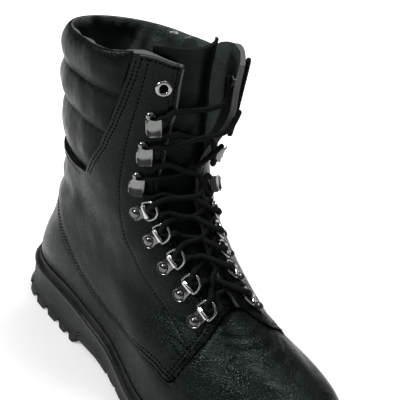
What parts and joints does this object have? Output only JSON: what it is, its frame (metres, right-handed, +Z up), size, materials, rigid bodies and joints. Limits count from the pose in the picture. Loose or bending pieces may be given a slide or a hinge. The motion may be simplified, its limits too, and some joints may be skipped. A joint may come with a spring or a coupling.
{
  "type": "tactical boot",
  "caption": "Black leather lace-up boot for the right foot, with a padded collar, D-rings, speed hooks, eyelets and a lugged rubber sole.",
  "frame": {"origin": "middle of the boot's box, on the floor", "axes": "+X from heel to toe, +Y to the inner side of the foot, +Z up"},
  "size_m": [0.3197, 0.1107, 0.2546],
  "materials": {
    "leather": "semi-gloss full-grain",
    "soft_leather": "soft padded, satin",
    "lining": "matt textile",
    "sole_rubber": "matt",
    "dark_nickel": "polished dark nickel",
    "lace": "round braid"
  },
  "bodies": {
    "root": {"upper": "leather", "padded_collar": "soft_leather", "tongue": "soft_leather", "insole": "lining", "midsole": "sole_rubber", "heel": "sole_rubber", "outsole": "sole_rubber", "clip_outer_1": "dark_nickel", "ring_outer_1": "dark_nickel", "clip_outer_2": "dark_nickel", "ring_outer_2": "dark_nickel", "clip_outer_3": "dark_nickel", "ring_outer_3": "dark_nickel", "clip_outer_4": "dark_nickel", "ring_outer_4": "dark_nickel", "clip_outer_5": "dark_nickel", "ring_outer_5": "dark_nickel", "clip_inner_1": "dark_nickel", "ring_inner_1": "dark_nickel", "clip_inner_2": "dark_nickel", "ring_inner_2": "dark_nickel", "clip_inner_3": "dark_nickel", "ring_inner_3": "dark_nickel", "clip_inner_4": "dark_nickel", "ring_inner_4": "dark_nickel", "clip_inner_5": "dark_nickel", "ring_inner_5": "dark_nickel", "hook_outer_1": "dark_nickel", "hook_outer_2": "dark_nickel", "hook_outer_3": "dark_nickel", "hook_inner_1": "dark_nickel", "hook_inner_2": "dark_nickel", "hook_inner_3": "dark_nickel", "eyelet_outer": "dark_nickel", "eyelet_inner": "dark_nickel", "lace_bar": "lace", "lace_cross_1": "lace", "lace_cross_2": "lace", "lace_cross_3": "lace", "lace_cross_4": "lace", "lace_cross_5": "lace", "lace_cross_6": "lace", "lace_cross_7": "lace"}
  },
  "joints": []
}
